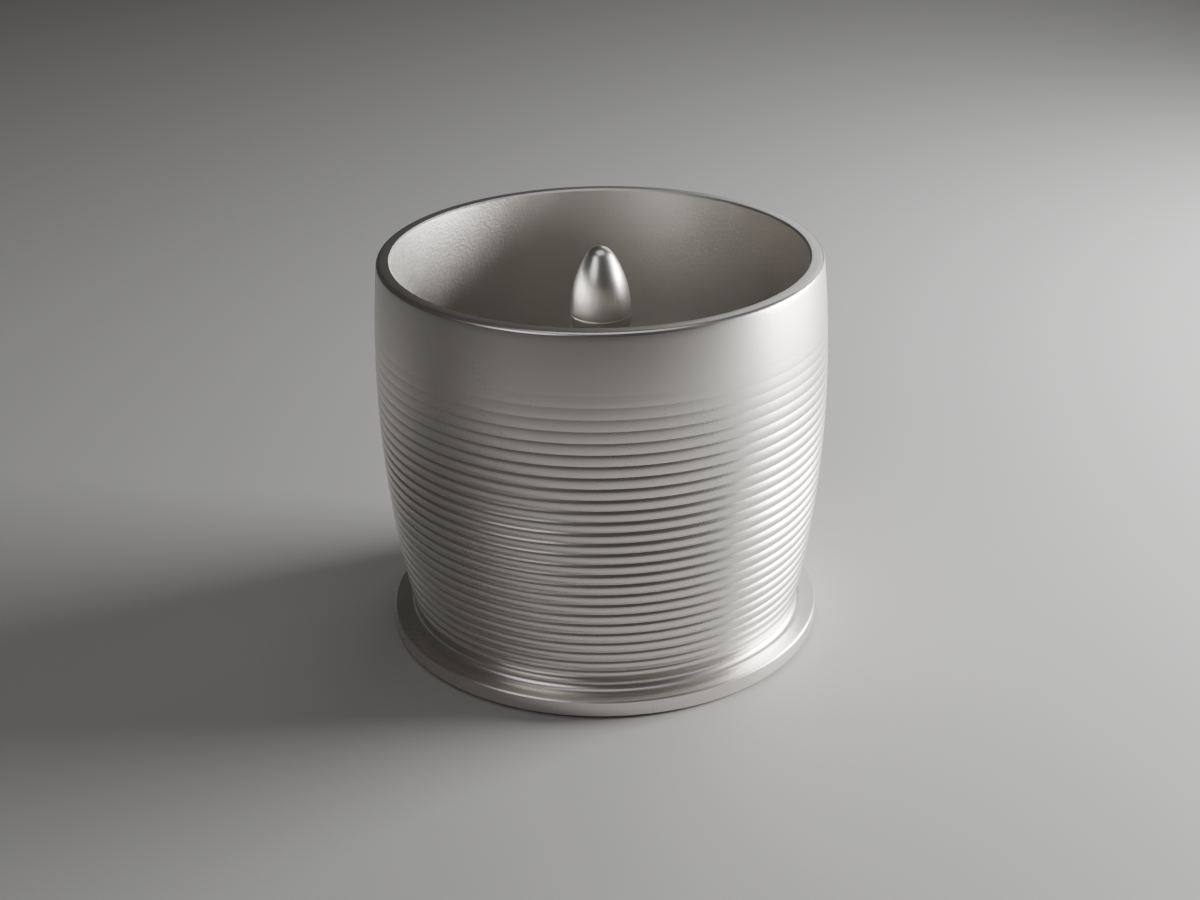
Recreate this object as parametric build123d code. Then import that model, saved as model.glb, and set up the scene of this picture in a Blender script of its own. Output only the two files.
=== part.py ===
"""A ribbed aluminium tumbler on a foot flange, closed below by a lift-out plug with a bullet-shaped knob.

Frame: millimetres, +Z up, origin on the axis of the cup at the surface that it stands on.
Every piece is turned about Z, so each outline below is a list of (radius, height).
"""

from build123d import *
import math
import os

# Foot and overall height
FOOT_PROUD = 0.3  # the soft foot ring stands this far below the metal
CUP_HEIGHT = 62.6
FLANGE_LEDGE = 3.5763  # the flange stands out this far from the foot of the barrel
FLANGE_THICKNESS = 2.7
FLANGE_CHAMFER = 0.22
FLANGE_FILLET = 1.4  # concave round from the flange up to the barrel

# Barrel: one long arc outside
BARREL_RADIUS = 35.6  # at its widest
BARREL_WAIST = 42.3  # height of the widest ring
BARREL_ARC = 187.0
RIM_WALL = 2.2
RIM_ROUND = 0.7  # outside of the mouth
RIM_CHAMFER = 0.3  # inside of the mouth

# Ribs: crests that touch the barrel, one pitch apart, with valleys that are shallower and shallower upwards
RIB_PITCH = 1.8
RIB_DEPTH = 0.36  # of a full valley, before its bottom is rounded
VALLEY_RADIUS = 0.1
FIRST_VALLEY_RISE = 3.58  # from the flange's top to the lowest valley
SMOOTH_BAND = 9.0  # least height left smooth under the rim
FADE_SPAN = 23.0  # the valleys lose their depth over this height
FADE_OUT = 0.95  # and would vanish this far above the top one
FADE_POWER = 1.2  # 1 would lose depth evenly, more loses it sooner

# Bore: straight at the mouth, then a long arc down to the throat
KNEE_HEIGHT = 34.0
THROAT_LAND = 0.8  # straight height under the funnel

# Seat ring pressed into the foot
FOOT_WALL = 1.2  # metal left between the ring's bore and the foot groove
SEAT_WALL = 1.8  # of the ring, above the ledge
LEDGE_WIDTH = 2.4
SEAT_LEDGE = 2.2  # height of the ledge that the seal lands on
SEAT_TOP = 4.4
SEAT_RECESS = 0.3  # the ring sits this far up inside the foot
SEAT_CHAMFER = 0.25

# Foot ring of silicone in a groove under the flange
FOOT_RING_INSET = 1.2  # from the flange's edge
FOOT_RING_WIDTH = 2.4
FOOT_GROOVE_DEPTH = 0.9
FOOT_RING_CHAMFER = 0.2

# Plug
PLUG_CLEARANCE = 0.3  # around the disc and around the ballast plate
DISC_EDGE = 0.9  # straight height of the disc's rim
DISC_CHAMFER = 0.3
FLOOR_SLOPE = 5.0  # degrees, falls outwards
FLARE_RADIUS = 16.0
NECK_WALL = 1.1
NECK_STRAIGHT = 1.0  # above the flare
NECK_CHAMFER = 0.6
SEAL_SECTION = 1.5  # diameter of the seal's round section
SEAL_GAP = 0.05  # between the closed plug's seal and the ledge
BALLAST_BOTTOM = 0.9
BALLAST_CHAMFER = 0.4

# Stem and the screw that clamps disc, plate and stem together
STEM_RADIUS = 2.5
STEM_SOCKET_DEPTH = 10.0
STEM_CHAMFER = 0.3
JOINT_GAP = 0.02  # radial gap of every close hand fit inside the plug
SCREW_RADIUS = 1.5
SCREW_GRIP = 6.0  # length of screw inside the stem
SCREW_TIP_ROOM = 1.0
SCREW_HOLE_GAP = 0.15
HEAD_RADIUS = 2.75
HEAD_HEIGHT = 1.3
HEX_FLATS = 2.0
HEX_DEPTH = 0.8
WASHER_RADIUS = 3.4
WASHER_THICKNESS = 0.5
COUNTERBORE_GAP = 0.2  # around the washer
HEAD_RECESS = 0.1  # the screw's head sits this far up inside the ballast plate

# Knob: a pointed nose screwed down on a rounded base
KNOB_RADIUS = 4.8
KNOB_PROUD = 0.8  # the tip stands this far above the rim
NOSE_LENGTH = 10.8
NOSE_ARC = 18.2
BASE_ARC = 6.0
SEAM_CHAMFER = 0.08
SPIGOT_RADIUS = 1.5
SPIGOT_GRIP = 5.5  # length of spigot inside the nose
SPIGOT_TIP_ROOM = 0.6

# Heights and radii that follow from the sizes above
METAL_BOTTOM = FOOT_PROUD
FLANGE_TOP = METAL_BOTTOM + FLANGE_THICKNESS
BARREL_CENTRE = BARREL_RADIUS - BARREL_ARC  # radius of the outer arc's centre, on the far side of the axis
FIRST_VALLEY = FLANGE_TOP + FIRST_VALLEY_RISE
VALLEY_COUNT = int((CUP_HEIGHT - SMOOTH_BAND - FIRST_VALLEY) / RIB_PITCH) + 1
LAST_VALLEY = FIRST_VALLEY + (VALLEY_COUNT - 1) * RIB_PITCH
FADE_END = LAST_VALLEY + FADE_OUT
BARREL_FOOT = BARREL_CENTRE + math.sqrt(BARREL_ARC**2 - (BARREL_WAIST - FLANGE_TOP) ** 2)
FLANGE_RADIUS = BARREL_FOOT + FLANGE_LEDGE
FOOT_RING_OUTER = FLANGE_RADIUS - FOOT_RING_INSET
FOOT_RING_INNER = FOOT_RING_OUTER - FOOT_RING_WIDTH
SEAT_PRESS_RADIUS = FOOT_RING_INNER - FOOT_WALL
SEAT_WALL_RADIUS = SEAT_PRESS_RADIUS - SEAT_WALL
THROAT_RADIUS = SEAT_WALL_RADIUS - LEDGE_WIDTH
SEAT_BOTTOM = METAL_BOTTOM + SEAT_RECESS
DISC_RADIUS = SEAT_WALL_RADIUS - PLUG_CLEARANCE
DISC_BOTTOM = SEAT_LEDGE + SEAL_GAP + SEAL_SECTION
BALLAST_RADIUS = THROAT_RADIUS - PLUG_CLEARANCE
NECK_RADIUS = STEM_RADIUS + NECK_WALL
FLOOR_EDGE = DISC_BOTTOM + DISC_EDGE + DISC_CHAMFER
FLOOR_RISE = (DISC_RADIUS - DISC_CHAMFER - NECK_RADIUS) * math.tan(math.radians(FLOOR_SLOPE))
FLARE_RISE = FLARE_RADIUS * math.tan(math.radians(90 - FLOOR_SLOPE) / 2)
NECK_TOP = FLOOR_EDGE + FLOOR_RISE + FLARE_RISE + NECK_STRAIGHT
STEM_BOTTOM = NECK_TOP - STEM_SOCKET_DEPTH
HEAD_BOTTOM = BALLAST_BOTTOM + HEAD_RECESS
HEAD_TOP = HEAD_BOTTOM + HEAD_HEIGHT
WASHER_TOP = HEAD_TOP + WASHER_THICKNESS
KNOB_TIP = CUP_HEIGHT + KNOB_PROUD
KNOB_SEAM = KNOB_TIP - NOSE_LENGTH


def barrel_radius(height):
    """Outer radius of the smooth barrel at a height."""
    return BARREL_CENTRE + math.sqrt(BARREL_ARC**2 - (height - BARREL_WAIST) ** 2)


def face_of(*edges):
    """The face inside a closed outline, drawn with radius along X and height along Y."""
    return make_face(Curve() + list(edges))


def turned(face):
    """The solid that a half-outline makes when it is turned about Z."""
    return revolve(Plane.XZ * face, Axis.Z)


def barrel_arc(low, high):
    """The stretch of the barrel's outer arc between two heights."""
    middle = (low + high) / 2
    return ThreePointArc(
        (barrel_radius(low), low), (barrel_radius(middle), middle), (barrel_radius(high), high)
    )


def unit(radius, height):
    """Direction from one outline point to another, with length 1."""
    size = math.hypot(radius, height)
    return radius / size, height / size


def bulge(centre, radius, start, end):
    """The shorter arc about a centre, from one point to another."""
    first = unit(start[0] - centre[0], start[1] - centre[1])
    second = unit(end[0] - centre[0], end[1] - centre[1])
    way = unit(first[0] + second[0], first[1] + second[1])
    return ThreePointArc(start, (centre[0] + radius * way[0], centre[1] + radius * way[1]), end)


def shoulder_radius(height):
    """Convex radius each side of a valley, from the valley's depth: the shallower, the flatter."""
    depth = RIB_DEPTH * min(1.0, (FADE_END - height) / FADE_SPAN) ** FADE_POWER
    return ((RIB_PITCH / 2) ** 2 + depth**2) / (2 * depth)


def shoulder_centre(height, radius):
    """Centre of the rib shoulder that touches the barrel from inside at a height."""
    out = unit(barrel_radius(height) - BARREL_CENTRE, height - BARREL_WAIST)
    return barrel_radius(height) - radius * out[0], height - radius * out[1]


def valley(height):
    """Two shoulders and the small round between them, from the crest below up to the crest above."""
    low, high = height - RIB_PITCH / 2, height + RIB_PITCH / 2
    shoulder = shoulder_radius(height)
    under, over = shoulder_centre(low, shoulder), shoulder_centre(high, shoulder)
    half = math.dist(under, over) / 2
    along = unit(over[0] - under[0], over[1] - under[1])
    out = (along[1], -along[0])
    away = math.sqrt((shoulder + VALLEY_RADIUS) ** 2 - half**2)
    centre = (
        (under[0] + over[0]) / 2 + away * out[0],
        (under[1] + over[1]) / 2 + away * out[1],
    )
    share = shoulder / (shoulder + VALLEY_RADIUS)
    lower, upper = (
        (side[0] + (centre[0] - side[0]) * share, side[1] + (centre[1] - side[1]) * share)
        for side in (under, over)
    )
    return [
        bulge(under, shoulder, (barrel_radius(low), low), lower),
        bulge(centre, VALLEY_RADIUS, lower, upper),
        bulge(over, shoulder, upper, (barrel_radius(high), high)),
    ]


def foot_round():
    """The concave round from the flange's top up onto the lowest rib, and the rest of that rib's shoulder."""
    crest = FIRST_VALLEY - RIB_PITCH / 2
    rib_radius = shoulder_radius(crest)
    shoulder = shoulder_centre(crest, rib_radius)
    height = FLANGE_TOP + FLANGE_FILLET
    span = rib_radius + FLANGE_FILLET
    radius = shoulder[0] + math.sqrt(span**2 - (shoulder[1] - height) ** 2)
    share = rib_radius / span
    touch = (
        shoulder[0] + (radius - shoulder[0]) * share,
        shoulder[1] + (height - shoulder[1]) * share,
    )
    start = (radius, FLANGE_TOP)
    arcs = [
        bulge((radius, height), FLANGE_FILLET, start, touch),
        bulge(shoulder, rib_radius, touch, (barrel_radius(crest), crest)),
    ]
    return start, arcs


def rim_round():
    """The round outside the mouth, the height where it leaves the barrel, and where it meets the top."""
    height = CUP_HEIGHT - RIM_ROUND
    reach = BARREL_ARC - RIM_ROUND
    radius = BARREL_CENTRE + math.sqrt(reach**2 - (height - BARREL_WAIST) ** 2)
    out = unit(radius - BARREL_CENTRE, height - BARREL_WAIST)
    low = height + RIM_ROUND * out[1]
    top = (radius, CUP_HEIGHT)
    return bulge((radius, height), RIM_ROUND, (barrel_radius(low), low), top), low, top


def barrel_outline(rim_low):
    """The barrel's outside from its first crest up to the round at the mouth."""
    edges = []
    for count in range(VALLEY_COUNT):
        edges += valley(FIRST_VALLEY + count * RIB_PITCH)
    return edges + [barrel_arc(LAST_VALLEY + RIB_PITCH / 2, rim_low)]


def cup_shell():
    """Barrel and foot flange in one piece, with the seat ring's bore and the foot ring's groove."""
    foot_start, foot_arcs = foot_round()
    mouth_arc, rim_low, rim_edge = rim_round()
    bore_radius = barrel_radius(CUP_HEIGHT) - RIM_WALL
    throat_top = SEAT_TOP + THROAT_LAND
    outline = [
        Polyline(
            (SEAT_PRESS_RADIUS, METAL_BOTTOM),
            (FOOT_RING_INNER, METAL_BOTTOM),
            (FOOT_RING_INNER, METAL_BOTTOM + FOOT_GROOVE_DEPTH),
            (FOOT_RING_OUTER, METAL_BOTTOM + FOOT_GROOVE_DEPTH),
            (FOOT_RING_OUTER, METAL_BOTTOM),
            (FLANGE_RADIUS - FLANGE_CHAMFER, METAL_BOTTOM),
            (FLANGE_RADIUS, METAL_BOTTOM + FLANGE_CHAMFER),
            (FLANGE_RADIUS, FLANGE_TOP - FLANGE_CHAMFER),
            (FLANGE_RADIUS - FLANGE_CHAMFER, FLANGE_TOP),
            foot_start,
        ),
        *foot_arcs,
        *barrel_outline(rim_low),
        mouth_arc,
        Polyline(
            rim_edge,
            (bore_radius + RIM_CHAMFER, CUP_HEIGHT),
            (bore_radius, CUP_HEIGHT - RIM_CHAMFER),
            (bore_radius, KNEE_HEIGHT),
        ),
        TangentArc((bore_radius, KNEE_HEIGHT), (SEAT_WALL_RADIUS, throat_top), tangent=(0, -1)),
        Polyline(
            (SEAT_WALL_RADIUS, throat_top),
            (SEAT_WALL_RADIUS, SEAT_TOP),
            (SEAT_PRESS_RADIUS, SEAT_TOP),
            (SEAT_PRESS_RADIUS, METAL_BOTTOM),
        ),
    ]
    return turned(face_of(*outline))


def seat_ring():
    """Steel ring in the foot: the plug's seal lands on its ledge."""
    return turned(
        face_of(
            Polyline(
                (THROAT_RADIUS + SEAT_CHAMFER, SEAT_BOTTOM),
                (SEAT_PRESS_RADIUS, SEAT_BOTTOM),
                (SEAT_PRESS_RADIUS, SEAT_TOP),
                (SEAT_WALL_RADIUS, SEAT_TOP),
                (SEAT_WALL_RADIUS, SEAT_LEDGE),
                (THROAT_RADIUS, SEAT_LEDGE),
                (THROAT_RADIUS, SEAT_BOTTOM + SEAT_CHAMFER),
                (THROAT_RADIUS + SEAT_CHAMFER, SEAT_BOTTOM),
            )
        )
    )


def foot_ring():
    """Soft ring in the flange's groove: the cup stands on it."""
    groove_top = METAL_BOTTOM + FOOT_GROOVE_DEPTH
    return turned(
        face_of(
            Polyline(
                (FOOT_RING_INNER + FOOT_RING_CHAMFER, 0),
                (FOOT_RING_OUTER - FOOT_RING_CHAMFER, 0),
                (FOOT_RING_OUTER, FOOT_RING_CHAMFER),
                (FOOT_RING_OUTER, groove_top),
                (FOOT_RING_INNER, groove_top),
                (FOOT_RING_INNER, FOOT_RING_CHAMFER),
                (FOOT_RING_INNER + FOOT_RING_CHAMFER, 0),
            )
        )
    )


def plug_disc():
    """Floor of the cup: a disc that flares up into a neck around the stem."""
    edge_top = DISC_BOTTOM + DISC_EDGE
    floor_edge = (DISC_RADIUS - DISC_CHAMFER, FLOOR_EDGE)
    neck_foot = (NECK_RADIUS, FLOOR_EDGE + FLOOR_RISE)
    neck_head = (NECK_RADIUS, NECK_TOP - NECK_CHAMFER)
    hole_radius = SCREW_RADIUS + SCREW_HOLE_GAP
    socket_radius = STEM_RADIUS + JOINT_GAP
    outline = [
        FilletPolyline(floor_edge, neck_foot, neck_head, radius=FLARE_RADIUS),
        Polyline(
            neck_head,
            (NECK_RADIUS - NECK_CHAMFER, NECK_TOP),
            (socket_radius, NECK_TOP),
            (socket_radius, STEM_BOTTOM),
            (hole_radius, STEM_BOTTOM),
            (hole_radius, DISC_BOTTOM),
            (DISC_RADIUS, DISC_BOTTOM),
            (DISC_RADIUS, edge_top),
            floor_edge,
        ),
    ]
    return turned(face_of(*outline))


def plug_seal():
    """O-ring around the ballast plate, between the disc and the seat's ledge."""
    ring_radius = BALLAST_RADIUS + SEAL_SECTION / 2
    centre_height = DISC_BOTTOM - SEAL_SECTION / 2
    return Pos(0, 0, centre_height) * Torus(ring_radius, SEAL_SECTION / 2)


def ballast_plate():
    """Heavy steel plate under the disc that keeps the plug down, with a counterbore for the screw's head."""
    counterbore = WASHER_RADIUS + COUNTERBORE_GAP
    hole_radius = SCREW_RADIUS + SCREW_HOLE_GAP
    return turned(
        face_of(
            Polyline(
                (counterbore, BALLAST_BOTTOM),
                (BALLAST_RADIUS - BALLAST_CHAMFER, BALLAST_BOTTOM),
                (BALLAST_RADIUS, BALLAST_BOTTOM + BALLAST_CHAMFER),
                (BALLAST_RADIUS, DISC_BOTTOM),
                (hole_radius, DISC_BOTTOM),
                (hole_radius, WASHER_TOP),
                (counterbore, WASHER_TOP),
                (counterbore, BALLAST_BOTTOM),
            )
        )
    )


def plug_washer():
    """Washer between the screw's head and the ballast plate."""
    ring = Cylinder(WASHER_RADIUS, WASHER_THICKNESS) - Cylinder(
        SCREW_RADIUS + SCREW_HOLE_GAP, WASHER_THICKNESS
    )
    return Pos(0, 0, WASHER_TOP - WASHER_THICKNESS / 2) * ring


def plug_screw():
    """Low-head hexagon socket screw, driven from below into the stem."""
    tip = STEM_BOTTOM + SCREW_GRIP
    bolt = turned(
        face_of(
            Polyline(
                (0, HEAD_BOTTOM),
                (HEAD_RADIUS, HEAD_BOTTOM),
                (HEAD_RADIUS, HEAD_TOP),
                (SCREW_RADIUS, HEAD_TOP),
                (SCREW_RADIUS, tip),
                (0, tip),
                (0, HEAD_BOTTOM),
            )
        )
    )
    socket = extrude(RegularPolygon(HEX_FLATS / 2, 6, major_radius=False), HEX_DEPTH)
    return bolt - Pos(0, 0, HEAD_BOTTOM) * socket


def knob_base_drop():
    """Height of the knob's rounded base, from the seam down to the stem's shoulder."""
    return math.sqrt(BASE_ARC**2 - (BASE_ARC - KNOB_RADIUS + STEM_RADIUS) ** 2)


def stem():
    """Rod from the disc up to the knob, tapped below and with a spigot above."""
    shoulder = KNOB_SEAM - knob_base_drop()
    thread_radius = SCREW_RADIUS + JOINT_GAP
    hole_top = STEM_BOTTOM + SCREW_GRIP + SCREW_TIP_ROOM
    spigot_top = KNOB_SEAM + SPIGOT_GRIP
    return turned(
        face_of(
            Polyline(
                (thread_radius, STEM_BOTTOM),
                (STEM_RADIUS - STEM_CHAMFER, STEM_BOTTOM),
                (STEM_RADIUS, STEM_BOTTOM + STEM_CHAMFER),
                (STEM_RADIUS, shoulder),
                (SPIGOT_RADIUS, shoulder),
                (SPIGOT_RADIUS, spigot_top),
                (0, spigot_top),
                (0, hole_top),
                (thread_radius, hole_top),
                (thread_radius, STEM_BOTTOM),
            )
        )
    )


def knob_base():
    """Rounded lower part of the knob, clamped between the stem's shoulder and the nose."""
    shoulder = KNOB_SEAM - knob_base_drop()
    seam_low = KNOB_SEAM - SEAM_CHAMFER
    arc_centre = KNOB_RADIUS - BASE_ARC
    half = (shoulder + seam_low) / 2
    middle = (arc_centre + math.sqrt(BASE_ARC**2 - (KNOB_SEAM - half) ** 2), half)
    top = (arc_centre + math.sqrt(BASE_ARC**2 - SEAM_CHAMFER**2), seam_low)
    hole_radius = SPIGOT_RADIUS + JOINT_GAP
    return turned(
        face_of(
            ThreePointArc((STEM_RADIUS, shoulder), middle, top),
            Polyline(
                top,
                (KNOB_RADIUS - SEAM_CHAMFER, KNOB_SEAM),
                (hole_radius, KNOB_SEAM),
                (hole_radius, shoulder),
                (STEM_RADIUS, shoulder),
            ),
        )
    )


def knob_nose():
    """Bullet-shaped nose: a long arc from the seam into a round tip, with a blind hole for the spigot."""
    arc_centre = KNOB_RADIUS - NOSE_ARC
    tip_radius = (NOSE_ARC**2 - arc_centre**2 - NOSE_LENGTH**2) / (2 * (NOSE_ARC - NOSE_LENGTH))
    tip_centre = KNOB_TIP - tip_radius
    lean = math.atan2(tip_centre - KNOB_SEAM, -arc_centre)  # where the long arc turns into the tip

    def on_arc(angle):
        return (arc_centre + NOSE_ARC * math.cos(angle), KNOB_SEAM + NOSE_ARC * math.sin(angle))

    def on_tip(angle):
        return (tip_radius * math.cos(angle), tip_centre + tip_radius * math.sin(angle))

    seam_angle = math.asin(SEAM_CHAMFER / NOSE_ARC)
    hole_radius = SPIGOT_RADIUS + JOINT_GAP
    hole_top = KNOB_SEAM + SPIGOT_GRIP + SPIGOT_TIP_ROOM
    return turned(
        face_of(
            ThreePointArc(on_arc(seam_angle), on_arc((seam_angle + lean) / 2), on_arc(lean)),
            ThreePointArc(on_tip(lean), on_tip((lean + math.pi / 2) / 2), (0, KNOB_TIP)),
            Polyline(
                (0, KNOB_TIP),
                (0, hole_top),
                (hole_radius, hole_top),
                (hole_radius, KNOB_SEAM),
                (KNOB_RADIUS - SEAM_CHAMFER, KNOB_SEAM),
                on_arc(seam_angle),
            ),
        )
    )


PIECES = [
    cup_shell,
    seat_ring,
    foot_ring,
    plug_disc,
    plug_seal,
    ballast_plate,
    plug_washer,
    plug_screw,
    stem,
    knob_base,
    knob_nose,
]

os.makedirs("parts", exist_ok=True)
for piece in PIECES:
    export_step(piece(), f"parts/{piece.__name__}.step")
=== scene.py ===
"""Ribbed aluminium dosing tumbler with a lift-out plug: turned surfaces, finishes, floor, light and camera.

Every turned piece is one outline of (radius, height) points, spun about the cup's axis. Sizes are in metres.
"""

import functools
import math

import bmesh
import bpy
from mathutils import Matrix, Vector


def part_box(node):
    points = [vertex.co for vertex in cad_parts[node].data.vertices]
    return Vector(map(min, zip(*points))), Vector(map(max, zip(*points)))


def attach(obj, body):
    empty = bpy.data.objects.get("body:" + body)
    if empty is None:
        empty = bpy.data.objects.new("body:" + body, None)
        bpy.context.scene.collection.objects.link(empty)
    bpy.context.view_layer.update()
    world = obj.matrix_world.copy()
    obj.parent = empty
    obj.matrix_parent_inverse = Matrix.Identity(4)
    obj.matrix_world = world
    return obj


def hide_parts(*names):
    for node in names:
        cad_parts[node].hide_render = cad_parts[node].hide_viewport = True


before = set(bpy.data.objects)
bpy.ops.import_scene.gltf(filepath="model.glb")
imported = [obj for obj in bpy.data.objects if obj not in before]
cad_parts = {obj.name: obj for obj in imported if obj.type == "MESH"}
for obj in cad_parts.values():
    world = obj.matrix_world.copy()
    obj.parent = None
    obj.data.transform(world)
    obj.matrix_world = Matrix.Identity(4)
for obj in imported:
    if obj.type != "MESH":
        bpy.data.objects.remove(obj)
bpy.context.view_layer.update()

bl_info = {
    "name": "Dosing tumbler",
    "version": (1, 0, 0),
    "blender": (4, 5, 0),
    "location": "3D View > Sidebar > Tumbler",
    "description": "Builds a ribbed aluminium tumbler with a lift-out plug around its packed frame",
    "category": "Object",
}

MM = 0.001
SHARP_TURN = math.radians(28)  # an outline that turns more than this in one point has a real edge there
AXIS_RADIUS = 1e-7  # points nearer the axis than this are one vertex
STRAIGHT = 1e-14  # three points that span less than this lie on one line
ROUND_SHARE = 0.4  # a broken corner takes at most this much of the lines beside it
RIM_BAND = 0.01 * MM  # faces this near the cup's top are its flat rim
LEVEL = 0.99  # upward part of a level face's normal

# Facets along each curve of an outline
CORNER_STEPS = 4
SHOULDER_STEPS = 5  # one side of a rib
VALLEY_STEPS = 4
FILLET_STEPS = 10
BAND_STEPS = 8  # the smooth band under the rim
RIM_STEPS = 8
FUNNEL_STEPS = 16
FLARE_STEPS = 24
SEAL_STEPS = 24
BASE_STEPS = 20
NOSE_STEPS = 30
TIP_STEPS = 16

RELIEF_DEPTH = 0.05 * MM  # height of a surface's finest relief at full strength
PIT_DETAIL = 3.0
CLOUD_DETAIL = 4.0
CLOUD_SCALE = 90.0  # uneven patches of the blasted metal, for each metre
MARK_DETAIL = 2.0

SENSOR_WIDTH = 36.0  # in millimetres
CLIP_NEAR, CLIP_FAR = 0.01, 20.0
FLOOR_HALF = 1.6
FLOOR_ROUGHNESS = 0.6
WORLD_COLOUR = (1.0, 0.98, 0.95, 1.0)
LIGHT_AIM = (0, 0, 0.035)
LIGHTS = (  # name, place, width, height and watts
    ("window", (0.34, 0.08, 0.085), 0.22, 0.16, 4.8),
    ("front light", (-0.28, -0.32, 0.34), 0.26, 0.20, 0.30),
    ("overhead light", (0.02, -0.06, 0.52), 0.36, 0.30, 0.28),
    ("back light", (0.24, 0.54, 0.30), 0.38, 0.26, 0.42),
)


@functools.cache
def reach(node):
    """Outer radius, lowest height and highest height of a round CAD node."""
    low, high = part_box(node)
    return high.x, low.z, high.z


def length(default, name, description):
    """A size that a user can change, shown as a length."""
    return bpy.props.FloatProperty(
        name=name,
        description=description,
        default=default,
        min=0.0,
        precision=5,
        subtype="DISTANCE",
        unit="LENGTH",
    )


def share(default, name, description, top=1.0):
    """A plain number that a user can change."""
    return bpy.props.FloatProperty(
        name=name, description=description, default=default, min=0.0, max=top, subtype="FACTOR"
    )


def colour(default, name, description):
    """A colour that a user can change."""
    return bpy.props.FloatVectorProperty(
        name=name, description=description, default=default, size=3, min=0.0, max=1.0, subtype="COLOR"
    )


def angle(default, name, description):
    """An angle that a user can change, given here in degrees."""
    return bpy.props.FloatProperty(
        name=name, description=description, default=math.radians(default), subtype="ANGLE", unit="ROTATION"
    )


class TumblerSizes(bpy.types.PropertyGroup):
    """Sizes of the turned pieces that the frame's boxes don't give."""

    segments: bpy.props.IntProperty(
        name="Segments", description="Facets round each turned piece", default=160, min=32, max=512
    )
    edge_round: length(0.06 * MM, "Edge round", "Radius that breaks every turned corner")
    flange_radius: length(35.0 * MM, "Flange radius", "Outer radius of the foot flange")
    flange_thickness: length(2.7 * MM, "Flange thickness", "Height of the foot flange")
    flange_chamfer: length(0.22 * MM, "Flange chamfer", "Chamfer on the flange's two outer edges")
    flange_fillet: length(1.4 * MM, "Flange fillet", "Concave round from the flange up to the barrel")
    barrel_waist: length(42.3 * MM, "Barrel waist", "Height of the barrel's widest ring")
    barrel_arc: length(187.0 * MM, "Barrel arc", "Radius of the barrel's long outer arc")
    rim_wall: length(2.2 * MM, "Rim wall", "Thickness of the wall at the mouth")
    rim_round: length(0.7 * MM, "Rim round", "Round outside the mouth")
    rim_chamfer: length(0.3 * MM, "Rim chamfer", "Chamfer inside the mouth")
    rib_pitch: length(1.8 * MM, "Rib pitch", "Height from one valley to the next")
    rib_count: bpy.props.IntProperty(
        name="Ribs", description="Number of valleys round the barrel", default=27, min=1
    )
    first_valley: length(6.58 * MM, "First valley", "Height of the lowest valley")
    rib_depth: length(0.36 * MM, "Rib depth", "Depth of a full valley before its bottom is rounded")
    valley: length(0.1 * MM, "Valley", "Round at the bottom of a valley")
    fade_span: length(23.0 * MM, "Fade span", "The valleys lose their depth over this height")
    fade_out: length(0.95 * MM, "Fade out", "The valleys would vanish this far above the top one")
    fade_power: share(1.2, "Fade power", "How quickly the ribs fade towards the mouth", 4.0)
    knee_height: length(34.0 * MM, "Knee height", "The bore is straight above this height")
    throat_land: length(0.8 * MM, "Throat land", "Straight height under the funnel")
    seat_wall: length(28.4 * MM, "Seat wall", "Inner radius of the seat ring above its ledge")
    throat: length(26.0 * MM, "Throat", "Inner radius of the seat ring's ledge")
    seat_ledge: length(2.2 * MM, "Seat ledge", "Height of the ledge that the seal lands on")
    seat_chamfer: length(0.25 * MM, "Seat chamfer", "Chamfer under the seat ring's throat")
    ring_inner: length(31.4 * MM, "Foot ring inner", "Inner radius of the soft foot ring")
    ring_chamfer: length(0.2 * MM, "Foot ring chamfer", "Chamfer on the foot ring's standing edge")
    disc_edge: length(0.9 * MM, "Disc edge", "Straight height of the disc's rim")
    disc_chamfer: length(0.3 * MM, "Disc chamfer", "Chamfer on top of the disc's rim")
    floor_slope: angle(5.0, "Floor slope", "Fall of the disc's top towards its rim")
    flare: length(16.0 * MM, "Flare", "Radius between the disc's top and its neck")
    neck_wall: length(1.1 * MM, "Neck wall", "Wall of the neck round the stem")
    neck_chamfer: length(0.6 * MM, "Neck chamfer", "Chamfer at the neck's top")
    ballast_chamfer: length(0.4 * MM, "Ballast chamfer", "Chamfer under the ballast plate")
    counterbore: length(3.6 * MM, "Counterbore", "Radius of the pocket round the screw's head")
    screw_hole: length(1.65 * MM, "Screw hole", "Radius of the hole for the screw")
    screw: length(1.5 * MM, "Screw", "Radius of the screw's thread")
    screw_room: length(1.0 * MM, "Screw room", "Empty height above the screw's tip")
    spigot_room: length(0.6 * MM, "Spigot room", "Empty height above the spigot")
    spigot: length(1.5 * MM, "Spigot", "Radius of the stem's upper spigot")
    joint_gap: length(0.02 * MM, "Joint gap", "Radial gap of the close fits in the plug")
    stem_chamfer: length(0.3 * MM, "Stem chamfer", "Chamfer at the stem's lower end")
    base_arc: length(6.0 * MM, "Knob base arc", "Radius of the knob's lower curve")
    nose_arc: length(18.2 * MM, "Knob nose arc", "Radius of the nose's long curve")
    seam_chamfer: length(0.08 * MM, "Seam chamfer", "Chamfer each side of the knob's seam")
    knob_radius: length(4.8 * MM, "Knob radius", "Radius of the knob at its seam")


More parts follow.
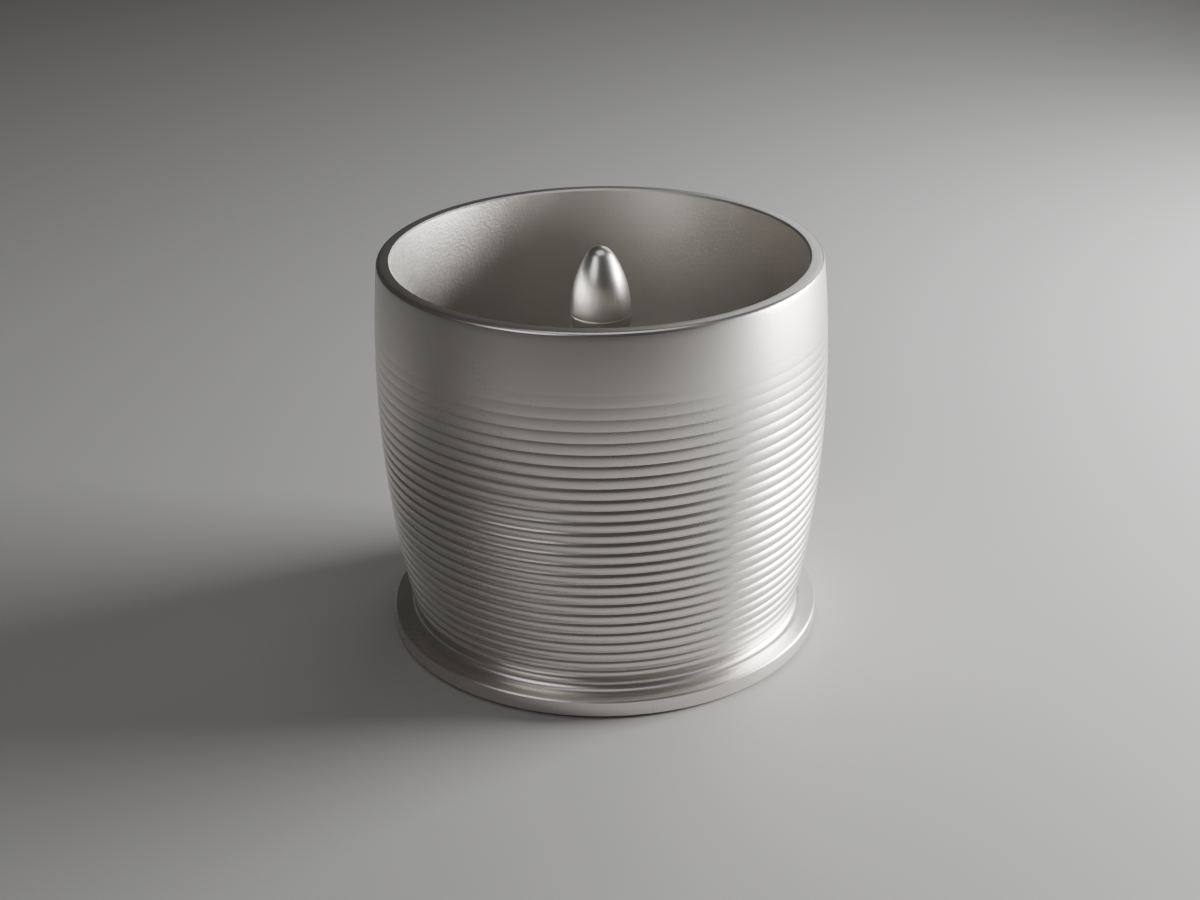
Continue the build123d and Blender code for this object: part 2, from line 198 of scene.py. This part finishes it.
class TumblerFinish(bpy.types.PropertyGroup):
    """Colours and surface quality of each finish."""

    blasted_colour: colour((0.77, 0.745, 0.705), "Blasted colour", "Bead-blasted anodised aluminium")
    blasted_roughness: share(0.29, "Blasted roughness", "Roughness of the blasted metal")
    blasted_spread: share(0.06, "Blasted spread", "How far its roughness varies")
    faced_colour: colour((0.68, 0.67, 0.65), "Faced colour", "Flat top of the rim, cut after blasting")
    faced_roughness: share(0.34, "Faced roughness", "Roughness of the rim's flat top")
    faced_spread: share(0.06, "Faced spread", "How far its roughness varies")
    faced_relief: share(0.05, "Faced relief", "Strength of its turning marks")
    polished_colour: colour((0.90, 0.88, 0.85), "Polished colour", "Polished steel of the knob")
    polished_roughness: share(0.31, "Polished roughness", "Roughness of the knob")
    polished_spread: share(0.05, "Polished spread", "How far its roughness varies")
    polished_relief: share(0.015, "Polished relief", "Strength of its turning marks")
    turned_colour: colour((0.62, 0.61, 0.60), "Turned colour", "Fine turned steel")
    turned_roughness: share(0.26, "Turned roughness", "Roughness of turned steel")
    turned_spread: share(0.14, "Turned spread", "How far its roughness varies")
    turned_relief: share(0.12, "Turned relief", "Strength of its turning marks")
    rubber_colour: colour((0.022, 0.022, 0.024), "Rubber colour", "Foot ring and seal")
    rubber_roughness: share(0.62, "Rubber roughness", "Roughness of the soft rings")
    rubber_spread: share(0.14, "Rubber spread", "How far their roughness varies")
    rubber_relief: share(0.3, "Rubber relief", "Strength of their grain")
    grain_size: length(0.26 * MM, "Grain size", "Size of the grain outside and on the plug")
    grain_depth: share(0.12, "Grain depth", "Strength of the relief outside and on the plug")
    bore_roughness: share(0.45, "Bore roughness", "Roughness of the metal inside the cup")
    bore_spread: share(0.22, "Bore spread", "How far its roughness varies")
    bore_grain_size: length(0.42 * MM, "Bore grain size", "Size of the grain inside the cup")
    bore_grain_depth: share(1.0, "Bore grain depth", "Strength of the relief inside the cup")
    mark_spacing: length(0.16 * MM, "Turning mark spacing", "Distance between fine turning marks")


class TumblerStage(bpy.types.PropertyGroup):
    """Camera, floor and lights."""

    camera_distance: length(308.81 * MM, "Camera distance", "From the aim point to the lens")
    camera_elevation: angle(24.99, "Camera elevation", "Angle of the view below level")
    camera_aim: length(28.74 * MM, "Aim height", "Height of the point on the axis that the camera circles")
    camera_yaw: angle(-0.086, "Camera yaw", "Small turn of the view about the vertical")
    camera_roll: angle(-0.848, "Camera roll", "Small tilt of the horizon")
    lens: bpy.props.FloatProperty(name="Lens", description="Focal length in millimetres", default=57.2)
    floor_colour: colour((0.44, 0.435, 0.43), "Floor colour", "Plain pale floor")
    world_strength: share(0.05, "World strength", "Even light from all round", 5.0)


def sizes():
    """The sizes set in this scene."""
    return bpy.context.scene.tumbler_sizes


def finish():
    """The finishes set in this scene."""
    return bpy.context.scene.tumbler_finish


def arc_through(first, middle, last, steps):
    """Points along the circle through three points, from the first to the last."""
    a, b, c = Vector(first), Vector(middle), Vector(last)
    cross = 2 * ((b - a).x * (c - a).y - (b - a).y * (c - a).x)
    if abs(cross) < STRAIGHT:
        return [tuple(a.lerp(c, i / steps)) for i in range(steps + 1)]
    ab, ac = (b - a).length_squared, (c - a).length_squared
    centre = a + Vector(
        (((c - a).y * ab - (b - a).y * ac) / cross, ((b - a).x * ac - (c - a).x * ab) / cross)
    )
    start = math.atan2(*(a - centre).yx)
    sweep = math.atan2(*(c - centre).yx) - start
    via = (math.atan2(*(b - centre).yx) - start) % math.tau
    sweep %= math.tau
    if via > sweep:
        sweep -= math.tau
    radius = (a - centre).length
    turns = [start + sweep * i / steps for i in range(steps + 1)]
    return [(centre.x + radius * math.cos(t), centre.y + radius * math.sin(t)) for t in turns]


def softened(outline, radius, closed):
    """The outline with every real corner broken by a small round."""
    count = len(outline)
    result = []
    for i, point in enumerate(outline):
        here = Vector(point)
        if not closed and i in (0, count - 1):
            result.append(point)
            continue
        before = Vector(outline[i - 1]) - here
        after = Vector(outline[(i + 1) % count]) - here
        turn = math.pi - before.angle(after)
        if turn < SHARP_TURN:
            result.append(point)
            continue
        cut = min(radius * math.tan(turn / 2), before.length * ROUND_SHARE, after.length * ROUND_SHARE)
        start = here + before.normalized() * cut
        end = here + after.normalized() * cut
        bulge = (1 / math.cos(turn / 2) - 1) * cut / math.tan(turn / 2)
        middle = here + (before.normalized() + after.normalized()).normalized() * bulge
        result += arc_through(start, middle, end, CORNER_STEPS)
    return result


def turned_mesh(name, outline, closed=True, corner=None):
    """A mesh object: the outline spun about Z. An open outline starts and ends on the axis."""
    radius = sizes().edge_round if corner is None else corner
    outline = softened(outline, radius, closed)
    segments = sizes().segments
    mesh = bpy.data.meshes.new(name)
    work = bmesh.new()
    rings = []
    for across, height in outline:
        if across < AXIS_RADIUS:
            rings.append([work.verts.new((0, 0, height))] * segments)
            continue
        turns = [math.tau * i / segments for i in range(segments)]
        rings.append([work.verts.new((across * math.cos(t), across * math.sin(t), height)) for t in turns])
    pairs = list(zip(rings, rings[1:] + rings[:1])) if closed else list(zip(rings, rings[1:]))
    for low, high in pairs:
        for i in range(segments):
            j = (i + 1) % segments
            corners = list(dict.fromkeys((low[i], low[j], high[j], high[i])))
            if len(corners) > 2:
                work.faces.new(corners)
    bmesh.ops.recalc_face_normals(work, faces=work.faces)
    for face in work.faces:
        face.smooth = True
    work.to_mesh(mesh)
    work.free()
    mesh.set_sharp_from_angle(angle=SHARP_TURN)
    piece = bpy.data.objects.new(name, mesh)
    bpy.context.scene.collection.objects.link(piece)
    return piece


def fitted(piece, body, node, slot, *materials):
    """Puts a turned piece in a CAD node's place, with its materials."""
    for material in materials:
        piece.data.materials.append(material)
    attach(piece, body)
    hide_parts(node)
    return piece


# Effects that several finishes share


def new_group(name, inputs, outputs):
    """An empty shader node group with float inputs and outputs."""
    group = bpy.data.node_groups.new(name, "ShaderNodeTree")
    for label in inputs:
        group.interface.new_socket(name=label, in_out="INPUT", socket_type="NodeSocketFloat")
    for label in outputs:
        group.interface.new_socket(name=label, in_out="OUTPUT", socket_type="NodeSocketFloat")
    return group, group.nodes.new("NodeGroupInput"), group.nodes.new("NodeGroupOutput")


def math_node(tree, operation, first, second=0.0):
    """A Math node fed by sockets or by plain numbers."""
    node = tree.nodes.new("ShaderNodeMath")
    node.operation = operation
    for socket, value in zip(node.inputs, (first, second)):
        if isinstance(value, (int, float)):
            socket.default_value = value
        else:
            tree.links.new(value, socket)
    return node.outputs[0]


def blasted_grain():
    """Fine pitted relief of bead-blasted metal, and the uneven roughness that comes with it."""
    found = bpy.data.node_groups.get("Blasted grain")
    if found:
        return found
    inputs, outputs = ("Size", "Roughness", "Spread"), ("Roughness", "Height")
    tree, given, put = new_group("Blasted grain", inputs, outputs)
    place = tree.nodes.new("ShaderNodeTexCoord")
    scale = math_node(tree, "DIVIDE", 1.0, given.outputs["Size"])
    pits = tree.nodes.new("ShaderNodeTexNoise")
    pits.inputs["Detail"].default_value = PIT_DETAIL
    tree.links.new(place.outputs["Object"], pits.inputs["Vector"])
    tree.links.new(scale, pits.inputs["Scale"])
    cloud = tree.nodes.new("ShaderNodeTexNoise")
    cloud.inputs["Scale"].default_value = CLOUD_SCALE
    cloud.inputs["Detail"].default_value = CLOUD_DETAIL
    tree.links.new(place.outputs["Object"], cloud.inputs["Vector"])
    mixed = math_node(tree, "ADD", pits.outputs["Fac"], cloud.outputs["Fac"])
    centred = math_node(tree, "SUBTRACT", mixed, 1.0)
    swing = math_node(tree, "MULTIPLY", centred, given.outputs["Spread"])
    tree.links.new(math_node(tree, "ADD", given.outputs["Roughness"], swing), put.inputs["Roughness"])
    tree.links.new(pits.outputs["Fac"], put.inputs["Height"])
    return tree


def turning_marks():
    """Fine rings that a lathe leaves, even in spacing and uneven in depth."""
    found = bpy.data.node_groups.get("Turning marks")
    if found:
        return found
    inputs, outputs = ("Spacing", "Roughness", "Spread"), ("Roughness", "Height")
    tree, given, put = new_group("Turning marks", inputs, outputs)
    place = tree.nodes.new("ShaderNodeTexCoord")
    parts = tree.nodes.new("ShaderNodeSeparateXYZ")
    tree.links.new(place.outputs["Object"], parts.inputs[0])
    x_squared = math_node(tree, "MULTIPLY", parts.outputs["X"], parts.outputs["X"])
    y_squared = math_node(tree, "MULTIPLY", parts.outputs["Y"], parts.outputs["Y"])
    across = math_node(tree, "SQRT", math_node(tree, "ADD", x_squared, y_squared))
    along = math_node(tree, "ADD", across, parts.outputs["Z"])
    rings = tree.nodes.new("ShaderNodeTexNoise")
    rings.noise_dimensions = "1D"
    rings.inputs["Scale"].default_value = 1.0
    rings.inputs["Detail"].default_value = MARK_DETAIL
    tree.links.new(math_node(tree, "DIVIDE", along, given.outputs["Spacing"]), rings.inputs["W"])
    centred = math_node(tree, "SUBTRACT", rings.outputs["Fac"], 0.5)
    swing = math_node(tree, "MULTIPLY", centred, given.outputs["Spread"])
    tree.links.new(math_node(tree, "ADD", given.outputs["Roughness"], swing), put.inputs["Roughness"])
    tree.links.new(rings.outputs["Fac"], put.inputs["Height"])
    return tree


def surfaced(name, base, metallic, effect, values, relief):
    """A material whose roughness and relief come from one of the shared effects."""
    found = bpy.data.materials.get(name)
    if found:
        return found
    material = bpy.data.materials.new(name)
    material.use_nodes = True
    tree = material.node_tree
    shader = tree.nodes["Principled BSDF"]
    shader.inputs["Base Color"].default_value = (*base, 1.0)
    shader.inputs["Metallic"].default_value = metallic
    marks = tree.nodes.new("ShaderNodeGroup")
    marks.node_tree = effect
    for label, value in values.items():
        marks.inputs[label].default_value = value
    bump = tree.nodes.new("ShaderNodeBump")
    bump.inputs["Strength"].default_value = relief
    bump.inputs["Distance"].default_value = RELIEF_DEPTH
    tree.links.new(marks.outputs["Roughness"], shader.inputs["Roughness"])
    tree.links.new(marks.outputs["Height"], bump.inputs["Height"])
    tree.links.new(bump.outputs["Normal"], shader.inputs["Normal"])
    return material


def blasted_aluminium():
    """The cup's outside and the plug's disc."""
    f = finish()
    values = {"Size": f.grain_size, "Roughness": f.blasted_roughness, "Spread": f.blasted_spread}
    return surfaced("Blasted aluminium", f.blasted_colour, 1.0, blasted_grain(), values, f.grain_depth)


def blasted_bore():
    """The inside of the cup, blasted more coarsely."""
    f = finish()
    values = {"Size": f.bore_grain_size, "Roughness": f.bore_roughness, "Spread": f.bore_spread}
    return surfaced("Blasted bore", f.blasted_colour, 1.0, blasted_grain(), values, f.bore_grain_depth)


def faced_aluminium():
    """The flat top of the rim."""
    f = finish()
    values = {"Spacing": f.mark_spacing, "Roughness": f.faced_roughness, "Spread": f.faced_spread}
    return surfaced("Faced aluminium", f.faced_colour, 1.0, turning_marks(), values, f.faced_relief)


def polished_steel():
    """The knob."""
    f = finish()
    values = {"Spacing": f.mark_spacing, "Roughness": f.polished_roughness, "Spread": f.polished_spread}
    return surfaced("Polished steel", f.polished_colour, 1.0, turning_marks(), values, f.polished_relief)


def turned_steel():
    """The seat ring, the ballast plate, the stem and the fasteners."""
    f = finish()
    values = {"Spacing": f.mark_spacing, "Roughness": f.turned_roughness, "Spread": f.turned_spread}
    return surfaced("Turned steel", f.turned_colour, 1.0, turning_marks(), values, f.turned_relief)


def soft_rubber():
    """The foot ring and the seal."""
    f = finish()
    values = {"Size": f.grain_size, "Roughness": f.rubber_roughness, "Spread": f.rubber_spread}
    return surfaced("Soft rubber", f.rubber_colour, 0.0, blasted_grain(), values, f.rubber_relief)


# Outlines


def barrel_centre(s):
    """Distance from the axis to the centre of the barrel's long arc, negative beyond the axis."""
    return reach("cup_shell")[0] - s.barrel_arc


def barrel_radius(s, height):
    """Outer radius of the smooth barrel at a height."""
    return barrel_centre(s) + math.sqrt(s.barrel_arc**2 - (height - s.barrel_waist) ** 2)


def on_barrel(s, height):
    """The outline's point on the smooth barrel at a height."""
    return Vector((barrel_radius(s, height), height))


def barrel_run(s, low, high, steps):
    """Points up the smooth barrel, from one height to another."""
    return [on_barrel(s, low + (high - low) * i / steps) for i in range(steps + 1)]


def shoulder_radius(s, height):
    """Convex radius each side of a valley, from the valley's depth: the shallower, the flatter."""
    fade_end = s.first_valley + (s.rib_count - 1) * s.rib_pitch + s.fade_out
    depth = s.rib_depth * min(1.0, (fade_end - height) / s.fade_span) ** s.fade_power
    return ((s.rib_pitch / 2) ** 2 + depth**2) / (2 * depth)


def shoulder_centre(s, height, radius):
    """Centre of the rib shoulder that touches the barrel from inside at a height."""
    point = on_barrel(s, height)
    return point - (point - Vector((barrel_centre(s), s.barrel_waist))).normalized() * radius


def bulge(centre, radius, start, end, steps):
    """The shorter arc about a centre, from one point to another."""
    way = ((start - centre).normalized() + (end - centre).normalized()).normalized()
    return arc_through(start, centre + way * radius, end, steps)


def valley(s, height):
    """Two shoulders and the small round between them, from the crest below up to the crest above."""
    low, high = height - s.rib_pitch / 2, height + s.rib_pitch / 2
    shoulder = shoulder_radius(s, height)
    under, over = shoulder_centre(s, low, shoulder), shoulder_centre(s, high, shoulder)
    along = (over - under).normalized()
    out = Vector((along.y, -along.x))
    away = math.sqrt((shoulder + s.valley) ** 2 - (over - under).length_squared / 4)
    centre = (under + over) / 2 + out * away
    part = shoulder / (shoulder + s.valley)
    lower, upper = under.lerp(centre, part), over.lerp(centre, part)
    return [
        *bulge(under, shoulder, on_barrel(s, low), lower, SHOULDER_STEPS),
        *bulge(centre, s.valley, lower, upper, VALLEY_STEPS)[1:],
        *bulge(over, shoulder, upper, on_barrel(s, high), SHOULDER_STEPS)[1:],
    ]


def foot_round(s, flange_top):
    """The concave round from the flange's top up onto the lowest rib, and the rest of that rib's shoulder."""
    crest = s.first_valley - s.rib_pitch / 2
    rib_radius = shoulder_radius(s, crest)
    rib = shoulder_centre(s, crest, rib_radius)
    height = flange_top + s.flange_fillet
    span = rib_radius + s.flange_fillet
    centre = Vector((rib.x + math.sqrt(span**2 - (rib.y - height) ** 2), height))
    touch = rib.lerp(centre, rib_radius / span)
    return [
        *bulge(centre, s.flange_fillet, Vector((centre.x, flange_top)), touch, FILLET_STEPS),
        *bulge(rib, rib_radius, touch, on_barrel(s, crest), SHOULDER_STEPS)[1:],
    ]


def ribbed_barrel(s, rim_low):
    """The barrel's outside from its first crest up to the round at the mouth."""
    points = []
    for count in range(s.rib_count):
        points += valley(s, s.first_valley + count * s.rib_pitch)[1:]
    last_crest = s.first_valley + (s.rib_count - 0.5) * s.rib_pitch
    return points + barrel_run(s, last_crest, rim_low, BAND_STEPS)[1:-1]


def rim_round(s, top):
    """Points round the outside of the mouth, up from the barrel."""
    height = top - s.rim_round
    across = barrel_centre(s) + math.sqrt((s.barrel_arc - s.rim_round) ** 2 - (height - s.barrel_waist) ** 2)
    centre = Vector((across, height))
    out = (centre - Vector((barrel_centre(s), s.barrel_waist))).normalized()
    return bulge(centre, s.rim_round, centre + out * s.rim_round, Vector((across, top)), RIM_STEPS)


def bore_run(s, top, throat_top):
    """The inside from the mouth's chamfer down the straight bore and along the arc to the throat."""
    bore = barrel_radius(s, top) - s.rim_wall
    drop, narrow = s.knee_height - throat_top, bore - s.seat_wall
    funnel = (drop**2 + narrow**2) / (2 * narrow)
    half = math.asin(drop / funnel) / 2
    half_way = (bore - funnel * (1 - math.cos(half)), s.knee_height - funnel * math.sin(half))
    return [
        (bore + s.rim_chamfer, top),
        (bore, top - s.rim_chamfer),
        *arc_through((bore, s.knee_height), half_way, (s.seat_wall, throat_top), FUNNEL_STEPS),
    ]


def cup_outline(s):
    """Barrel, foot flange, mouth and bore, as one closed outline."""
    bottom, top = reach("cup_shell")[1:]
    ring_outer, _, groove_top = reach("foot_ring")
    press, _, seat_top = reach("seat_ring")
    flange_top = bottom + s.flange_thickness
    mouth = rim_round(s, top)
    return [
        (press, bottom),
        (s.ring_inner, bottom),
        (s.ring_inner, groove_top),
        (ring_outer, groove_top),
        (ring_outer, bottom),
        (s.flange_radius - s.flange_chamfer, bottom),
        (s.flange_radius, bottom + s.flange_chamfer),
        (s.flange_radius, flange_top - s.flange_chamfer),
        (s.flange_radius - s.flange_chamfer, flange_top),
        *foot_round(s, flange_top),
        *ribbed_barrel(s, mouth[0][1]),
        *mouth,
        *bore_run(s, top, seat_top + s.throat_land),
        (s.seat_wall, seat_top),
        (press, seat_top),
    ]


def nose_outline(s):
    """The knob's nose, from its tip round to the blind hole for the spigot."""
    _, seam, tip = reach("knob_nose")
    centre = s.knob_radius - s.nose_arc
    rise = tip - seam
    tip_radius = (s.nose_arc**2 - centre**2 - rise**2) / (2 * (s.nose_arc - rise))
    tip_centre = tip - tip_radius
    lean = math.atan2(tip_centre - seam, -centre)
    first = math.asin(s.seam_chamfer / s.nose_arc)
    side = [lean + (first - lean) * i / NOSE_STEPS for i in range(NOSE_STEPS + 1)]
    cap = [math.pi / 2 + (lean - math.pi / 2) * i / TIP_STEPS for i in range(TIP_STEPS)]
    hole = s.spigot + s.joint_gap
    hole_top = reach("stem")[2] + s.spigot_room
    return [
        *[
            (tip_radius * math.cos(t) if i else 0.0, tip_centre + tip_radius * math.sin(t))
            for i, t in enumerate(cap)
        ],
        *[(centre + s.nose_arc * math.cos(t), seam + s.nose_arc * math.sin(t)) for t in side],
        (s.knob_radius - s.seam_chamfer, seam),
        (hole, seam),
        (hole, hole_top),
        (0.0, hole_top),
    ]


def base_outline(s):
    """The knob's rounded lower part, bored for the spigot."""
    _, shoulder, seam = reach("knob_base")
    stem_radius = reach("stem")[0]
    centre = s.knob_radius - s.base_arc
    low = math.asin((shoulder - seam) / s.base_arc)
    high = math.asin(-s.seam_chamfer / s.base_arc)
    turns = [low + (high - low) * i / BASE_STEPS for i in range(1, BASE_STEPS + 1)]
    return [
        (s.spigot + s.joint_gap, shoulder),
        (stem_radius, shoulder),
        *[(centre + s.base_arc * math.cos(t), seam + s.base_arc * math.sin(t)) for t in turns],
        (s.knob_radius - s.seam_chamfer, seam),
        (s.spigot + s.joint_gap, seam),
    ]


def disc_outline(s):
    """The plug's disc, flared up into the neck round the stem."""
    rim, bottom, top = reach("plug_disc")
    stem_radius, stem_bottom = reach("stem")[:2]
    neck = stem_radius + s.neck_wall
    floor = Vector((rim - s.disc_chamfer, bottom + s.disc_edge + s.disc_chamfer))
    foot = Vector((neck, floor.y + (floor.x - neck) * math.tan(s.floor_slope)))
    turn = math.pi / 2 - s.floor_slope
    cut = s.flare * math.tan(turn / 2)
    start, end = foot + (floor - foot).normalized() * cut, foot + Vector((0, cut))
    inward = ((floor - foot).normalized() + Vector((0, 1))).normalized()
    middle = foot + inward * s.flare * (1 / math.cos(turn / 2) - 1)
    return [
        (rim, bottom),
        (rim, bottom + s.disc_edge),
        tuple(floor),
        *arc_through(start, middle, end, FLARE_STEPS),
        (neck, top - s.neck_chamfer),
        (neck - s.neck_chamfer, top),
        (stem_radius + s.joint_gap, top),
        (stem_radius + s.joint_gap, stem_bottom),
        (s.screw_hole, stem_bottom),
        (s.screw_hole, bottom),
    ]


def ballast_outline(s):
    """The plate under the disc, with the pocket for the screw's head."""
    rim, bottom, top = reach("ballast_plate")
    washer_top = reach("plug_washer")[2]
    return [
        (s.counterbore, bottom),
        (rim - s.ballast_chamfer, bottom),
        (rim, bottom + s.ballast_chamfer),
        (rim, top),
        (s.screw_hole, top),
        (s.screw_hole, washer_top),
        (s.counterbore, washer_top),
    ]


def seat_outline(s):
    """The seat ring, with the ledge that the seal lands on."""
    press, bottom, top = reach("seat_ring")
    return [
        (s.throat + s.seat_chamfer, bottom),
        (press, bottom),
        (press, top),
        (s.seat_wall, top),
        (s.seat_wall, s.seat_ledge),
        (s.throat, s.seat_ledge),
        (s.throat, bottom + s.seat_chamfer),
    ]


def foot_ring_outline(s):
    """The soft ring in the flange's groove."""
    outer, bottom, top = reach("foot_ring")
    return [
        (s.ring_inner + s.ring_chamfer, bottom),
        (outer - s.ring_chamfer, bottom),
        (outer, bottom + s.ring_chamfer),
        (outer, top),
        (s.ring_inner, top),
        (s.ring_inner, bottom + s.ring_chamfer),
    ]


def seal_outline(s):
    """The plug's seal, round in section."""
    outer, bottom, top = reach("plug_seal")
    section = (top - bottom) / 2
    turns = [math.tau * i / SEAL_STEPS for i in range(SEAL_STEPS)]
    return [
        (outer - section + section * math.cos(t), bottom + section + section * math.sin(t)) for t in turns
    ]


def stem_outline(s):
    """The rod, with a spigot above and a blind tapped hole below, from the hole's end round to the top."""
    radius, bottom, top = reach("stem")
    shoulder = reach("knob_base")[1]
    hole = s.screw + s.joint_gap
    hole_top = reach("plug_screw")[2] + s.screw_room
    return [
        (0.0, hole_top),
        (hole, hole_top),
        (hole, bottom),
        (radius - s.stem_chamfer, bottom),
        (radius, bottom + s.stem_chamfer),
        (radius, shoulder),
        (s.spigot, shoulder),
        (s.spigot, top),
        (0.0, top),
    ]


class Maker:
    """What every operator of this add-on shares."""

    bl_options = {"REGISTER", "UNDO"}


class TUMBLER_OT_cup(Maker, bpy.types.Operator):
    """Make the ribbed cup with its foot flange"""

    bl_idname = "tumbler.cup"
    bl_label = "Cup"

    def execute(self, context):
        s = sizes()
        cup = turned_mesh("cup_shell_turned", cup_outline(s))
        fitted(cup, "cup", "cup_shell", "cup_metal", blasted_aluminium(), faced_aluminium(), blasted_bore())
        top = reach("cup_shell")[2]
        seat_top = reach("seat_ring")[2]
        for face in cup.data.polygons:
            across = face.normal.x * face.center.x + face.normal.y * face.center.y
            if face.center.z > top - RIM_BAND and face.normal.z > LEVEL:
                face.material_index = 1
            elif across < 0 and face.center.z > seat_top:
                face.material_index = 2
        return {"FINISHED"}


class TUMBLER_OT_foot(Maker, bpy.types.Operator):
    """Make the seat ring and the soft foot ring"""

    bl_idname = "tumbler.foot"
    bl_label = "Seat and foot rings"

    def execute(self, context):
        s = sizes()
        seat = turned_mesh("seat_ring_turned", seat_outline(s))
        fitted(seat, "cup", "seat_ring", "seat_steel", turned_steel())
        ring = turned_mesh("foot_ring_moulded", foot_ring_outline(s))
        fitted(ring, "cup", "foot_ring", "foot_silicone", soft_rubber())
        return {"FINISHED"}


class TUMBLER_OT_plug(Maker, bpy.types.Operator):
    """Make the plug's disc, ballast plate and seal"""

    bl_idname = "tumbler.plug"
    bl_label = "Plug"

    def execute(self, context):
        s = sizes()
        disc = turned_mesh("plug_disc_turned", disc_outline(s))
        fitted(disc, "plug", "plug_disc", "plug_metal", blasted_aluminium())
        plate = turned_mesh("ballast_plate_turned", ballast_outline(s))
        fitted(plate, "plug", "ballast_plate", "seat_steel", turned_steel())
        seal = turned_mesh("plug_seal_moulded", seal_outline(s))
        fitted(seal, "plug", "plug_seal", "seal_rubber", soft_rubber())
        return {"FINISHED"}


class TUMBLER_OT_knob(Maker, bpy.types.Operator):
    """Make the stem and the two parts of the knob"""

    bl_idname = "tumbler.knob"
    bl_label = "Stem and knob"

    def execute(self, context):
        s = sizes()
        rod = turned_mesh("stem_turned", stem_outline(s), closed=False)
        fitted(rod, "plug", "stem", "stem_steel", turned_steel())
        base = turned_mesh("knob_base_polished", base_outline(s))
        fitted(base, "plug", "knob_base", "knob_steel", polished_steel())
        nose = turned_mesh("knob_nose_polished", nose_outline(s), closed=False)
        fitted(nose, "plug", "knob_nose", "knob_steel", polished_steel())
        return {"FINISHED"}


class TUMBLER_OT_fasteners(Maker, bpy.types.Operator):
    """Finish the screw and the washer under the plug"""

    bl_idname = "tumbler.fasteners"
    bl_label = "Screw and washer"

    def execute(self, context):
        for name in ("plug_screw", "plug_washer"):
            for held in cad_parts[name].material_slots:
                held.material = turned_steel()
        return {"FINISHED"}


def view_axes(st):
    """Right, up and forward of the camera."""
    level, rise = math.cos(st.camera_elevation), math.sin(st.camera_elevation)
    aside, ahead = math.sin(st.camera_yaw), math.cos(st.camera_yaw)
    forward = Vector((aside, level * ahead, -rise * ahead)).normalized()
    right = forward.cross(Vector((0, 0, 1))).normalized()
    up = right.cross(forward)
    c, n = math.cos(st.camera_roll), math.sin(st.camera_roll)
    return right * c + up * n, up * c - right * n, forward


def soft_light(name, place, width, height, power):
    """A rectangular soft light that faces the cup."""
    data = bpy.data.lights.new(name, "AREA")
    data.shape = "RECTANGLE"
    data.size, data.size_y, data.energy = width, height, power
    lamp = bpy.data.objects.new(name, data)
    lamp.location = place
    lamp.rotation_euler = (Vector(LIGHT_AIM) - Vector(place)).to_track_quat("-Z", "Y").to_euler()
    bpy.context.scene.collection.objects.link(lamp)


class TUMBLER_OT_stage(Maker, bpy.types.Operator):
    """Set the camera, the floor and the lights"""

    bl_idname = "tumbler.stage"
    bl_label = "Stage"

    def execute(self, context):
        st = context.scene.tumbler_stage
        right, up, forward = view_axes(st)
        data = bpy.data.cameras.new("Camera")
        data.lens, data.sensor_width = st.lens, SENSOR_WIDTH
        data.clip_start, data.clip_end = CLIP_NEAR, CLIP_FAR
        camera = bpy.data.objects.new("Camera", data)
        turn = Matrix((right, up, -forward)).transposed().to_4x4()
        away, rise = st.camera_distance, st.camera_elevation
        place = Vector((0, -away * math.cos(rise), st.camera_aim + away * math.sin(rise)))
        camera.matrix_world = Matrix.Translation(place) @ turn
        context.scene.collection.objects.link(camera)
        context.scene.camera = camera
        mesh = bpy.data.meshes.new("floor")
        half, low = FLOOR_HALF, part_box("foot_ring")[0].z
        corners = [(-half, -half, low), (half, -half, low), (half, half, low), (-half, half, low)]
        mesh.from_pydata(corners, [], [(0, 1, 2, 3)])
        floor = bpy.data.objects.new("floor", mesh)
        context.scene.collection.objects.link(floor)
        paint = bpy.data.materials.new("Pale floor")
        paint.use_nodes = True
        shader = paint.node_tree.nodes["Principled BSDF"]
        shader.inputs["Base Color"].default_value = (*st.floor_colour, 1.0)
        shader.inputs["Roughness"].default_value = FLOOR_ROUGHNESS
        mesh.materials.append(paint)
        for light in LIGHTS:
            soft_light(*light)
        world = bpy.data.worlds.new("Studio")
        world.use_nodes = True
        background = world.node_tree.nodes["Background"]
        background.inputs["Color"].default_value = WORLD_COLOUR
        background.inputs["Strength"].default_value = st.world_strength
        context.scene.world = world
        return {"FINISHED"}


class TUMBLER_PT_panel(bpy.types.Panel):
    """Lists the pieces in the 3D view's sidebar"""

    bl_idname = "TUMBLER_PT_panel"
    bl_label = "Dosing tumbler"
    bl_space_type = "VIEW_3D"
    bl_region_type = "UI"
    bl_category = "Tumbler"

    def draw(self, context):
        for maker in MAKERS:
            self.layout.operator(maker.bl_idname)


GROUPS = {"tumbler_sizes": TumblerSizes, "tumbler_finish": TumblerFinish, "tumbler_stage": TumblerStage}
MAKERS = (
    TUMBLER_OT_stage,
    TUMBLER_OT_cup,
    TUMBLER_OT_foot,
    TUMBLER_OT_plug,
    TUMBLER_OT_knob,
    TUMBLER_OT_fasteners,
)


def register():
    """Adds the operators, the panel and the settings to Blender."""
    for item in (*GROUPS.values(), *MAKERS, TUMBLER_PT_panel):
        bpy.utils.register_class(item)
    for name, group in GROUPS.items():
        setattr(bpy.types.Scene, name, bpy.props.PointerProperty(type=group))


def unregister():
    """Takes them away again."""
    for name in GROUPS:
        delattr(bpy.types.Scene, name)
    for item in reversed((*GROUPS.values(), *MAKERS, TUMBLER_PT_panel)):
        bpy.utils.unregister_class(item)


def main():
    """Builds the whole scene."""
    register()
    bpy.ops.tumbler.stage()
    bpy.ops.tumbler.cup()
    bpy.ops.tumbler.foot()
    bpy.ops.tumbler.plug()
    bpy.ops.tumbler.knob()
    bpy.ops.tumbler.fasteners()


if __name__ == "__main__":
    main()
